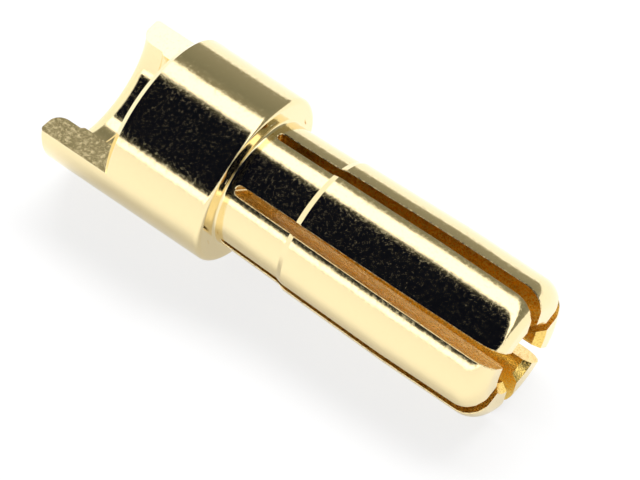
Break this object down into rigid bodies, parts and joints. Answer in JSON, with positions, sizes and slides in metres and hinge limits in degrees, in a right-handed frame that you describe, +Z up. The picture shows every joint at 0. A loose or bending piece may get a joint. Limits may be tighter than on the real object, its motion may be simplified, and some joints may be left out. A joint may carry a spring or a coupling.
{
  "type": "bullet battery lead connector",
  "caption": "Round plug with spring fingers on a collar, and a half-open solder cup behind it for a battery lead.",
  "frame": {"origin": "under the middle of the connector, on the surface that it lies on", "axes": "+X along the plug's axis towards the fingertips, +Z up out of the open side of the solder cup"},
  "size_m": [0.0174, 0.0062, 0.0062],
  "materials": {
    "gold_plating": "bright gold plating on turned brass, with fine machining marks"
  },
  "bodies": {
    "root": {"connector": "gold_plating"}
  },
  "joints": []
}
